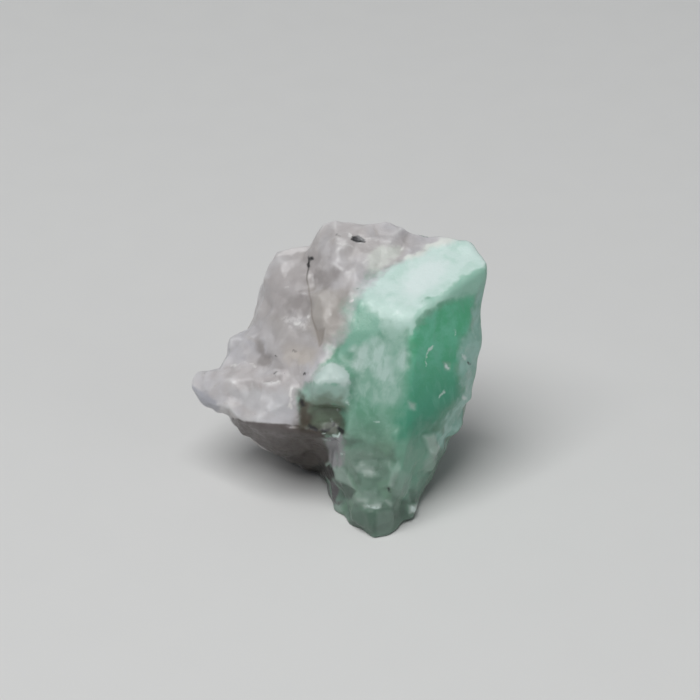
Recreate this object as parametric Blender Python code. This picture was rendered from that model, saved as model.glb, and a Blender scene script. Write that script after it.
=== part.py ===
"""Raw emerald: a broken emerald crystal grown in white quartz, as found, standing on its flat broken base.

The stone is built from overlapping broken blocks, roughened, and then parted along the walls of the
crystal that are buried in the quartz. Corners are in millimetres: X to the right, Y away from the front
tip, Z up from the ground. At the end the stone is brought to its real width, with the origin under its
middle.
"""

import math

import bmesh
import bpy
import numpy as np
from mathutils import Matrix, Vector, kdtree

MM = 0.001
STONE_WIDTH = 20.0
CONTACT_GAP = 0.3
CUTTER_SIZE = 60.0

MESH_STEP = 0.17
TRIANGLES = 6000

# Relief of the broken surface, in millimetres. A lump has its own height, tilt and dome.
LUMPS = {"spacing": 3.0, "tilt": 0.08, "step": 0.16, "dome": 0.04, "seed": 4}
CHIPS = {"spacing": 1.5, "tilt": 0.06, "step": 0.04, "dome": 0.05, "seed": 9}
NEAREST_LUMPS = 8

# Share of that relief on the smooth crystal, on its broken lower end, and how far it takes to change.
CRYSTAL_RELIEF = 0.1
BROKEN_END_RELIEF = 0.7
BROKEN_END_TOP = 7.0
BROKEN_END_BLEND = 2.0
SEAM_BLEND = 0.8

EMERALD_GREEN = (0.16, 0.45, 0.30)
QUARTZ_WHITE = (0.72, 0.70, 0.69)
EMERALD_ROUGHNESS = 0.35
QUARTZ_ROUGHNESS = 0.45

# The emerald's buried side: its outline seen from the front, as (X, Z), runs back to a flat wall.
BURIED_OUTLINE = (
    (0.9, 18.0), (-1.9, 10.4), (-2.5, 8.4), (-0.95, 2.5), (-0.9, -2.0), (14.0, -2.0), (14.0, 18.0),
)
BURIED_OUTLINE_FRONT_Y = -3.0
BACK_WALL_POINT = Vector((0.7, 7.6, 14.4))
BACK_WALL_NORMAL = Vector((-4.76, 4.37, -0.17)).normalized()

CORNERS = {
    # Emerald: its pale flat top
    "top_front": (4.9, 5.5, 13.8),
    "top_right": (10.0, 10.0, 15.5),
    "top_right_back": (9.0, 11.7, 15.95),
    "top_back": (7.2, 12.3, 16.3),
    "top_back_left": (5.5, 12.7, 16.2),
    "top_left": (0.7, 7.6, 14.4),
    # Emerald: the deep green right side
    "face_right_high": (9.0, 8.3, 13.2),
    "face_right_waist": (8.1, 6.7, 11.1),
    "face_right_low": (7.9, 5.8, 9.5),
    "face_right_foot": (7.5, 4.8, 7.9),
    "right_high": (9.5, 9.5, 13.2),
    "right_waist": (9.85, 8.7, 11.0),
    "right_low": (9.45, 7.8, 8.8),
    "right_lower": (8.8, 7.3, 6.5),
    "right_hip": (8.1, 6.5, 4.8),
    "right_foot": (7.05, 5.8, 3.0),
    "right_toe": (5.65, 3.9, 1.2),
    "prow_middle": (4.6, 2.2, 7.0),
    # Emerald: the left side, which meets the quartz
    "left_shoulder": (-0.6, 6.0, 12.0),
    "left_flank": (0.4, 2.8, 6.2),
    "left_shin": (-0.2, 2.9, 3.0),
    # The front tip
    "heel_high": (-0.9, 5.2, 2.6),
    "heel": (-0.95, 4.9, 1.5),
    "heel_low": (-0.6, 4.4, 0.5),
    "tip_right": (4.7, 2.1, 0.5),
    "tip_brow_left": (0.9, 1.6, 0.8),
    "tip_brow": (2.2, 0.1, 0.95),
    "tip_brow_right": (3.7, 0.7, 0.8),
    "tip_nose_right": (3.6, 0.7, -0.1),
    "tip_nose": (2.4, 0.1, -0.2),
    "tip_nose_left": (0.9, 1.9, -0.1),
    "tip_left": (-0.15, 3.6, 0.0),
    # The small pale nub beside the ledge
    "nub_left": (-1.6, 3.5, 10.0),
    "nub_back_left": (-1.1, 4.9, 10.6),
    "nub_back": (-0.4, 4.8, 10.9),
    "nub_back_right": (0.4, 4.6, 10.6),
    "nub_right": (0.7, 3.75, 10.1),
    "nub_root_left": (-1.7, 3.9, 8.0),
    "nub_root_right": (0.8, 3.5, 8.0),
    "nub_core": (1.5, 6.5, 10.3),
    # The wall below the nub, which the hollow is cut into
    "wall_left_low": (-2.2, 3.8, 5.9),
    "wall_right_low": (0.4, 3.6, 5.9),
    "wall_right_high": (0.6, 4.0, 8.4),
    "wall_left_high": (-2.1, 4.1, 8.4),
    "wall_back_left": (-2.2, 6.9, 5.0),
    "wall_back_right": (0.6, 6.9, 5.0),
    # Quartz: the highest lobe
    "crest_left_low": (-2.0, 13.3, 15.3),
    "crest_left": (-1.1, 13.3, 16.95),
    "crest": (-0.4, 13.2, 17.4),
    "crest_middle": (1.0, 13.2, 17.3),
    "crest_right": (3.2, 13.2, 17.0),
    "crest_right_low": (4.8, 12.9, 16.45),
    "brow": (0.1, 10.0, 15.55),
    "brow_left": (-1.4, 10.1, 14.2),
    "brow_low": (-1.5, 7.2, 11.4),
    # Quartz: the left lobe below it
    "lobe_top_right": (-2.2, 13.4, 15.0),
    "lobe_top": (-3.7, 13.5, 14.6),
    "lobe_top_left": (-5.0, 12.9, 14.15),
    "lobe_left": (-5.1, 11.2, 12.0),
    "lobe_left_low": (-5.8, 10.4, 10.5),
    "lobe_front_high": (-2.4, 10.5, 13.2),
    "lobe_front": (-4.3, 8.6, 10.9),
    "lobe_front_low": (-2.0, 6.7, 10.7),
    # Quartz: the small step above the ledge
    "step_top": (-7.1, 10.2, 9.8),
    "step_left_high": (-7.5, 10.5, 9.25),
    "step_left": (-7.45, 9.8, 8.5),
    "step_left_low": (-7.8, 8.9, 8.0),
    "step_front_left": (-6.0, 8.3, 8.7),
    "step_front": (-4.6, 7.9, 9.5),
    "step_front_right": (-2.4, 6.3, 9.4),
    "shelf_left": (-7.8, 8.9, 7.7),
    "shelf_middle": (-6.0, 8.4, 8.4),
    "shelf_front": (-4.6, 7.9, 9.0),
    "shelf_right": (-2.4, 6.4, 9.1),
    # Quartz: the ledge that reaches out to the left
    "ledge_top_left": (-8.9, 9.1, 7.85),
    "ledge_tip_back": (-9.95, 9.2, 7.6),
    "ledge_tip": (-10.3, 8.5, 6.9),
    "ledge_tip_low": (-10.05, 8.2, 6.4),
    "ledge_tip_under": (-9.3, 7.6, 6.1),
    "ledge_neck": (-7.9, 6.8, 6.05),
    "ledge_lip_left": (-6.3, 5.4, 6.0),
    "ledge_lip": (-5.2, 4.5, 6.2),
    "ledge_lip_right": (-2.4, 3.9, 6.4),
    "ledge_crest_left": (-6.4, 7.0, 8.2),
    "ledge_crest": (-4.6, 5.9, 8.5),
    "ledge_crest_right": (-2.2, 4.9, 8.7),
    # Quartz: the dark underside below the ledge
    "under_left": (-6.9, 6.6, 4.6),
    "under_left_low": (-6.0, 6.6, 3.8),
    "under_middle": (-5.05, 6.7, 3.0),
    "under_low": (-3.7, 6.7, 2.2),
    "under_right": (-2.6, 6.8, 1.6),
    "under_foot": (-1.2, 6.9, 1.45),
    # The broken back
    "back_left_high": (-5.4, 14.0, 10.6),
    "back_left_middle": (-7.0, 13.4, 7.4),
    "back_left_low": (-5.2, 13.8, 3.6),
    "back_high": (-1.8, 15.3, 12.4),
    "back_high_right": (4.0, 15.4, 11.4),
    "back_middle": (-2.8, 15.2, 6.4),
    "back_right": (8.6, 13.6, 9.4),
    "back_right_high": (8.9, 12.9, 13.0),
    "back_right_low": (7.0, 13.4, 4.4),
    "back_right_middle": (4.4, 15.1, 5.6),
    "ledge_back": (-8.6, 11.2, 6.0),
    "ledge_back_high": (-7.0, 12.4, 6.2),
    "step_back": (-7.6, 11.6, 7.7),
    "ledge_back_low": (-6.9, 11.4, 3.4),
    # The base, a little below the ground before it is cut flat
    "base_back_left": (-4.4, 12.9, -0.4),
    "base_left": (-3.9, 11.3, -0.4),
    "base_front_left": (-2.3, 10.9, -0.4),
    "base_front": (0.4, 3.6, -0.4),
    "base_front_right": (4.6, 3.4, -0.4),
    "base_right": (6.1, 9.6, -0.4),
    "base_back_right": (5.4, 12.4, -0.4),
    "base_back": (0.2, 13.4, -0.4),
}

BLOCKS = {
    "prism": (
        "top_front", "top_right", "top_right_back", "top_back", "top_back_left", "top_left",
        "face_right_high", "face_right_waist", "face_right_low", "face_right_foot",
        "right_high", "right_waist", "right_low", "right_lower", "right_hip", "right_foot", "right_toe",
        "prow_middle", "left_shoulder", "left_flank", "left_shin", "back_right_high", "back_right",
        "back_right_low", "base_right", "base_back_right", "base_front_right", "base_front",
    ),
    "tip": (
        "prow_middle", "right_toe", "right_foot", "left_flank", "left_shin",
        "heel_high", "heel", "heel_low", "tip_right", "tip_brow_left", "tip_brow", "tip_brow_right",
        "tip_nose_right", "tip_nose", "tip_nose_left", "tip_left",
        "base_front_right", "base_front", "base_right",
    ),
    "nub": (
        "nub_left", "nub_back_left", "nub_back", "nub_back_right", "nub_right", "nub_root_left",
        "nub_root_right", "nub_core", "step_front_right",
    ),
    "wall": (
        "wall_left_low", "wall_right_low", "wall_right_high", "wall_left_high", "wall_back_left",
        "wall_back_right", "nub_core", "step_front_right",
    ),
    "cheek": (
        "left_shoulder", "brow_low", "lobe_front_low", "step_front_right", "nub_back_left", "nub_back",
        "nub_core", "under_foot",
    ),
    "crown": (
        "crest_left_low", "crest_left", "crest", "crest_middle", "crest_right", "crest_right_low",
        "brow", "brow_left", "brow_low", "top_left", "top_back_left", "left_shoulder",
        "back_high", "back_high_right", "back_middle", "back_right_middle",
        "base_back_left", "base_back", "base_back_right",
    ),
    "lobe": (
        "lobe_top_right", "lobe_top", "lobe_top_left", "lobe_left", "lobe_left_low", "lobe_front_high",
        "lobe_front", "lobe_front_low", "brow_left", "brow_low", "back_left_high", "back_left_middle",
        "back_middle", "back_high", "under_foot", "base_left",
    ),
    "waist": (
        "lobe_left_low", "lobe_front", "lobe_front_low", "step_top", "step_front_left", "step_front",
        "step_front_right", "back_left_middle", "under_low", "under_foot",
    ),
    "shelf": (
        "shelf_left", "shelf_middle", "shelf_front", "shelf_right", "ledge_top_left", "ledge_crest_left",
        "ledge_crest", "ledge_crest_right", "ledge_back", "ledge_back_high", "under_low", "under_foot",
    ),
    "step": (
        "step_top", "step_left_high", "step_left", "step_left_low", "step_front_left", "step_front",
        "step_front_right", "step_back", "back_left_middle", "ledge_back_low", "lobe_left_low", "under_low",
    ),
    "ledge": (
        "ledge_top_left", "ledge_tip_back", "ledge_tip", "ledge_tip_low", "ledge_tip_under", "ledge_neck",
        "ledge_lip_left", "ledge_lip", "ledge_lip_right", "ledge_crest_left", "ledge_crest",
        "ledge_crest_right", "ledge_back", "ledge_back_high",
        "under_left", "under_left_low", "under_middle",
    ),
    "underside": (
        "ledge_lip_left", "ledge_lip", "ledge_lip_right", "ledge_neck", "under_left", "under_left_low",
        "under_middle", "under_low", "under_right", "under_foot", "base_left", "base_front_left",
        "base_back_left", "back_left_low", "ledge_back_low", "ledge_back", "left_flank",
    ),
    "base": (
        "base_back_left", "base_left", "base_front_left", "base_front", "base_front_right", "base_right",
        "base_back_right", "base_back", "back_left_low", "back_middle", "back_right_middle",
        "back_right_low", "left_shin", "under_foot",
    ),
}

# A shallow stained hollow under the nub, between the ledge and the crystal.
HOLLOW = (
    (-2.5, 1.5, 5.9), (0.8, 1.5, 5.9), (0.8, 1.5, 8.3), (-2.0, 1.5, 8.3),
    (-2.1, 4.0, 6.5), (0.3, 3.95, 6.5), (0.5, 4.4, 7.9), (-1.9, 4.45, 7.9),
)


def clear_scene():
    for old in list(bpy.data.objects):
        bpy.data.objects.remove(old, do_unlink=True)


def link(name, mesh):
    shape = bpy.data.objects.new(name, mesh)
    bpy.context.scene.collection.objects.link(shape)
    return shape


def add_hull(shell, corners):
    """Adds the convex block of these corners to a bmesh, in metres."""
    made = [shell.verts.new(Vector(corner) * MM) for corner in corners]
    hull = bmesh.ops.convex_hull(shell, input=made, use_existing_faces=False)
    unused = [v for v in hull["geom_interior"] + hull["geom_unused"] if isinstance(v, bmesh.types.BMVert)]
    bmesh.ops.delete(shell, geom=list(set(unused)), context="VERTS")


def mesh_of_blocks(name, blocks):
    shell = bmesh.new()
    for corners in blocks:
        add_hull(shell, corners)
    mesh = bpy.data.meshes.new(name)
    shell.to_mesh(mesh)
    shell.free()
    return mesh


def applied(shape):
    """Replaces the object's mesh with what its modifiers make of it."""
    graph = bpy.context.evaluated_depsgraph_get()
    mesh = bpy.data.meshes.new_from_object(shape.evaluated_get(graph))
    shape.modifiers.clear()
    shape.data = mesh
    return shape


def remeshed(shape, step):
    """Joins the overlapping blocks into one closed skin of even faces."""
    skin = shape.modifiers.new("one_skin", "REMESH")
    skin.mode = "VOXEL"
    skin.voxel_size = step * MM
    return applied(shape)


def cut(shape, cutter, operation):
    knife = shape.modifiers.new(operation.lower(), "BOOLEAN")
    knife.operation = operation
    knife.object = cutter
    return applied(shape)


def shell_around(start):
    """All points of a bmesh that edges join to this one."""
    found = {start}
    waiting = [start]
    while waiting:
        point = waiting.pop()
        for edge in point.link_edges:
            beyond = edge.other_vert(point)
            if beyond not in found:
                found.add(beyond)
                waiting.append(beyond)
    return found


def drop_crumbs(mesh):
    """Keeps the largest shell, without the tiny crumbs that a cut can leave at a thin edge."""
    shape = bmesh.new()
    shape.from_mesh(mesh)
    unseen = set(shape.verts)
    shells = []
    while unseen:
        shells.append(shell_around(unseen.pop()))
        unseen -= shells[-1]
    shells.sort(key=len)
    crumbs = [vert for shell in shells[:-1] for vert in shell]
    bmesh.ops.delete(shape, geom=crumbs, context="VERTS")
    shape.to_mesh(mesh)
    shape.free()


def read_points(mesh):
    points = np.empty(len(mesh.vertices) * 3)
    mesh.vertices.foreach_get("co", points)
    normals = np.empty(len(mesh.vertices) * 3)
    mesh.vertex_normals.foreach_get("vector", normals)
    return points.reshape(-1, 3) / MM, normals.reshape(-1, 3)


def write_points(mesh, points):
    mesh.vertices.foreach_set("co", (points * MM).ravel())
    mesh.update()


def lumpy_relief(points, spacing, tilt, step, dome, seed):
    """Height of a surface of tilted, softly domed lumps that meet in creases around scattered centres."""
    random = np.random.default_rng(seed)
    low = points.min(0) - spacing
    counts = np.ceil((points.max(0) + spacing - low) / spacing).astype(int)
    grid = np.stack(np.meshgrid(*[np.arange(count) for count in counts], indexing="ij"), -1).reshape(-1, 3)
    centres = low + (grid + random.random(grid.shape)) * spacing
    slopes = random.normal(0.0, tilt, centres.shape)
    steps = random.uniform(-step, step, len(centres))
    tree = kdtree.KDTree(len(centres))
    for index, centre in enumerate(centres):
        tree.insert(centre, index)
    tree.balance()
    near = np.array([[found[1] for found in tree.find_n(point, NEAREST_LUMPS)] for point in points])
    offsets = points[:, None, :] - centres[near]
    domes = steps[near] + (offsets * slopes[near]).sum(2) - dome * (offsets ** 2).sum(2)
    height = domes.max(1)
    return height - np.median(height)


def back_wall_y(x, z):
    """Y of the emerald's buried back wall at this X and Z."""
    away = Vector((x, 0.0, z)) - BACK_WALL_POINT
    fall = BACK_WALL_NORMAL.x * away.x + BACK_WALL_NORMAL.z * away.z
    return BACK_WALL_POINT.y - fall / BACK_WALL_NORMAL.y


def crystal_room(name, gap):
    """A convex block that holds all of the emerald, grown on every side by the gap."""
    room = bmesh.new()
    corners = [(x, BURIED_OUTLINE_FRONT_Y, z) for x, z in BURIED_OUTLINE]
    corners += [(x, back_wall_y(x, z), z) for x, z in BURIED_OUTLINE]
    add_hull(room, corners)
    bmesh.ops.dissolve_limit(room, angle_limit=math.radians(1.0), verts=room.verts[:], edges=room.edges[:])
    room.normal_update()
    moves = [vert.normal * vert.calc_shell_factor() * gap * MM for vert in room.verts]
    for vert, move in zip(room.verts, moves):
        vert.co += move
    mesh = bpy.data.meshes.new(name)
    room.to_mesh(mesh)
    room.free()
    return link(name, mesh)


def depth_outside(points, room):
    """How far each point lies outside the convex room, in millimetres; negative inside it."""
    depth = np.full(len(points), -np.inf)
    for face in room.data.polygons:
        depth = np.maximum(depth, (points - np.array(face.center) / MM) @ np.array(face.normal))
    return depth


def roughen(mesh, room):
    """Breaks the flat sides of the blocks into lumps, and the quartz into small chips too."""
    points, normals = read_points(mesh)
    in_quartz = np.clip(depth_outside(points, room) / SEAM_BLEND, 0.0, 1.0)
    in_broken_end = np.clip((BROKEN_END_TOP - points[:, 2]) / BROKEN_END_BLEND, 0.0, 1.0)
    roughness = np.maximum(in_quartz, in_broken_end * BROKEN_END_RELIEF)
    roughness = CRYSTAL_RELIEF + (1.0 - CRYSTAL_RELIEF) * roughness
    height = lumpy_relief(points, **LUMPS) - lumpy_relief(points, **CHIPS)
    write_points(mesh, points + normals * (height * roughness)[:, None])


def cut_base(shape):
    """Cuts the stone off flat at the ground, where it rests."""
    block = bmesh.new()
    below_ground = Matrix.Translation((0.0, 0.0, -CUTTER_SIZE * MM / 2))
    bmesh.ops.create_cube(block, size=CUTTER_SIZE * MM, matrix=below_ground)
    mesh = bpy.data.meshes.new("ground")
    block.to_mesh(mesh)
    block.free()
    ground = link("ground", mesh)
    cut(shape, ground, "DIFFERENCE")
    bpy.data.objects.remove(ground)


def thinned(shape, triangles):
    count = sum(len(face.vertices) - 2 for face in shape.data.polygons)
    thin = shape.modifiers.new("thin", "DECIMATE")
    thin.ratio = triangles / count
    return applied(shape)


def painted(name, colour, roughness):
    finish = bpy.data.materials.new(name)
    finish.use_nodes = True
    shader = finish.node_tree.nodes["Principled BSDF"]
    shader.inputs["Base Color"].default_value = (*colour, 1.0)
    shader.inputs["Roughness"].default_value = roughness
    return finish


def real_place(mesh):
    """The move that gives the stone its real width and puts the origin under its middle."""
    points = read_points(mesh)[0]
    low, high = points.min(0), points.max(0)
    middle = Vector(((low[0] + high[0]) / 2, (low[1] + high[1]) / 2, low[2]))
    return Matrix.Scale(STONE_WIDTH / (high[0] - low[0]), 4) @ Matrix.Translation(-middle * MM)


def broken_stone(room):
    """The whole stone, crystal and quartz, in one skin."""
    blocks = [[CORNERS[corner] for corner in corners] for corners in BLOCKS.values()]
    stone = remeshed(link("stone", mesh_of_blocks("stone", blocks)), MESH_STEP)
    hollow = link("hollow", mesh_of_blocks("hollow", [HOLLOW]))
    cut(stone, hollow, "DIFFERENCE")
    bpy.data.objects.remove(hollow)
    remeshed(stone, MESH_STEP)
    roughen(stone.data, room)
    remeshed(stone, MESH_STEP)
    thinned(stone, TRIANGLES)
    cut_base(stone)
    return stone


def piece_of(stone, name, cutter, operation, finish):
    piece = cut(link(name, stone.data.copy()), cutter, operation)
    drop_crumbs(piece.data)
    piece.data.materials.clear()
    piece.data.materials.append(finish)
    piece.data.transform(real_place(stone.data))
    return piece


def build():
    clear_scene()
    room = crystal_room("crystal_room", 0.0)
    wide_room = crystal_room("wide_crystal_room", CONTACT_GAP)
    stone = broken_stone(room)
    emerald = painted("emerald", EMERALD_GREEN, EMERALD_ROUGHNESS)
    quartz = painted("quartz", QUARTZ_WHITE, QUARTZ_ROUGHNESS)
    piece_of(stone, "emerald_crystal", room, "INTERSECT", emerald)
    piece_of(stone, "quartz_matrix", wide_room, "DIFFERENCE", quartz)
    for helper in (stone, room, wide_room):
        bpy.data.objects.remove(helper)


build()
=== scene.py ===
"""Looks of the raw emerald: a cloudy green crystal with a mint flat top, grown in milky quartz.

The two solids are joined in one skin, because light passes from one into the other. The skin gets
the fine relief of broken crystal, and its colours are kept as layers on its points. Shapes are
worked out in millimetres. Places on the stone are pixels of a 700 x 700 view from the camera, and
each point of the skin belongs to the pixel where it shows.
"""

import math

import bmesh
import bpy
import numpy as np
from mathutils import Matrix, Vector, bvhtree, noise


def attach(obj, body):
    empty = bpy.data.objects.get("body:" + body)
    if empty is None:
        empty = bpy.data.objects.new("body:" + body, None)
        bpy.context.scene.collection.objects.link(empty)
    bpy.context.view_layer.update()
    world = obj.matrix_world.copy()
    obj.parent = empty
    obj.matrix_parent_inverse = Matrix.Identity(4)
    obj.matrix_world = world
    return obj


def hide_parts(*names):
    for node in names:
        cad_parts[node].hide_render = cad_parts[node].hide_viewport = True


MM = 0.001

# Camera: places are in millimetres, the focal length in pixels of the view, the clip in metres.
VIEW_PIXELS = 700
FOCAL_PIXELS = 2830.0
SENSOR_WIDTH = 36.0
CLIP_START = 0.01
CAMERA_ELEVATION = math.radians(30.0)
CAMERA_DISTANCE = 192.44
CAMERA_TARGET = Vector((0.742, 0.779, 9.534))
CAMERA_BACK = Vector((0.0, -math.cos(CAMERA_ELEVATION), math.sin(CAMERA_ELEVATION)))
CAMERA_UP = Vector((0.0, math.sin(CAMERA_ELEVATION), math.cos(CAMERA_ELEVATION)))
CAMERA_RIGHT = Vector((1.0, 0.0, 0.0))
CAMERA_PLACE = CAMERA_TARGET + CAMERA_BACK * CAMERA_DISTANCE
PIXELS_PER_MM = FOCAL_PIXELS / CAMERA_DISTANCE

# Skin, in millimetres: the widest gap that is closed, how far the crystal then goes into the
# quartz, and the size of a face.
BRIDGE_REACH = 0.45
BRIDGE_OVERLAP = 0.12
SKIN_STEP = 0.13

# Smoothing: how far a point moves to its neighbours in a round, and the rounds for each use.
SMOOTHING = 0.5
SKIN_ROUNDS = 4
EDGE_ROUNDS = 60
CHIP_ROUNDS = 2
TONE_ROUNDS = 2
RIDGE_ROUNDS = 10
SWELL_ROUNDS = 120

# How much less the chips of the back are smoothed.
BACK_SHARPNESS = 0.35

# Chips, from large to fine: height of the lumps in mm, their scale, the share of faces kept, a seed,
# and how much of them the front and the back get.
CHIPS = (
    (0.75, 0.22, 0.0014, 5.0, 0.0, 1.0),
    (0.30, 0.45, 0.006, 3.0, 1.0, 0.7),
    (0.10, 1.3, 0.030, 4.0, 1.0, 0.8),
)

# How far the crystal's smooth faces rise and fall, in millimetres.
FACE_WAVES = 0.03

# How much a place has to face down to get the stain and painted shade, and what that counts for in
# millimetres.
DOWN_START = 0.4
DOWN_SCALE = 0.3

# How much smoother the stained underside with its painted shade is than the rest of the quartz, how
# rough the crystal's rim is beside its broken end, and how much of the waves of its smooth faces the
# rim loses.
UNDERSIDE_SMOOTHNESS = 0.85
RIM_ROUGHNESS = 0.4
RIM_LOSS = 0.7

# A fold behind the ledge is filled up: its place, how far that reaches, and the rounds of smoothing.
FOLD_PLACE = (-6.7, 3.0, 5.4)
FOLD_REACH = 3.5
FOLD_ROUNDS = 300

# The crystal's front faces: three corners of its top, and a point low on its front edge.
TOP_LEFT = Vector((0.7, -0.46, 14.54))
TOP_FRONT = Vector((4.94, -2.59, 13.94))
TOP_RIGHT = Vector((10.09, 1.96, 15.65))
PROW_LOW = Vector((4.64, -5.92, 7.07))

# Corrections of the outline, in pixels: a place, how far it moves, and how far that reaches.
NUDGES = (
    ((403, 231), (0.0, -3.5), 10.0),
    ((417, 238), (0.0, -6.0), 16.0),
    ((438, 238), (0.0, -3.0), 14.0),
    ((468, 243), (1.0, -3.5), 16.0),
    ((340, 222), (0.0, -2.0), 26.0),
    ((386, 223), (0.0, -2.0), 12.0),
    ((279, 255), (-3.0, -4.0), 11.0),
    ((262, 270), (5.0, 1.0), 16.0),
    ((254, 298), (7.0, 0.0), 30.0),
    ((250, 324), (3.0, 1.0), 14.0),
    ((224, 350), (4.5, 0.0), 17.0),
    ((240, 331), (0.0, 2.5), 10.0),
    ((217, 366), (2.0, 2.5), 9.0),
    ((195, 385), (-3.0, 0.0), 18.0),
    ((204, 404), (-2.0, 2.0), 10.0),
    ((214, 412), (0.0, -3.0), 8.0),
    ((226, 419), (3.5, -5.0), 13.0),
    ((243, 435), (-3.0, 3.0), 11.0),
    ((290, 461), (-1.0, 2.5), 11.0),
    ((316, 478), (5.0, -6.5), 18.0),
    ((324, 488), (3.0, -1.0), 10.0),
    ((338, 508), (-3.0, 2.5), 13.0),
    ((352, 521), (-2.5, 3.5), 13.0),
    ((387, 534), (0.5, 1.5), 9.0),
    ((411, 513), (3.5, 4.0), 12.0),
    ((453, 445), (-2.0, -1.0), 10.0),
    ((453, 440), (-3.5, -2.5), 15.0),
    ((468, 403), (4.5, 1.0), 20.0),
    ((485, 310), (-5.0, 0.0), 40.0),
    ((480, 360), (-2.0, 0.0), 20.0),
)

# Worn edges: an outline in pixels, how wide its edge fades, and the rounds of smoothing.
WORN_PLACES = (
    (((296, 356), (352, 356), (356, 410), (350, 436), (300, 438), (296, 400)), 4.0, 12),
    (((322, 222), (350, 220), (360, 246), (364, 268), (350, 284), (334, 280), (326, 250)), 6.0, 80),
    (((262, 258), (290, 262), (288, 300), (262, 306)), 6.0, 30),
    (((352, 286), (372, 288), (386, 300), (400, 304), (418, 296), (424, 322), (400, 342),
      (370, 326)), 6.0, 90),
)

# The crystal's outline in the view; outside it the stone is quartz.
CRYSTAL_OUTLINE = (
    (470, 232), (447, 244), (430, 247), (420, 254), (411, 258), (397, 262), (385, 268), (372, 278),
    (362, 289), (351, 298), (345, 310), (346, 325), (341, 336), (333, 345), (329, 353), (322, 364),
    (314, 374), (311, 381), (298, 390), (298, 404), (300, 428), (312, 433), (324, 440), (328, 450),
    (329, 461), (322, 466), (314, 474), (322, 500), (336, 530), (372, 560), (440, 540), (520, 400),
    (520, 240),
)

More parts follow.
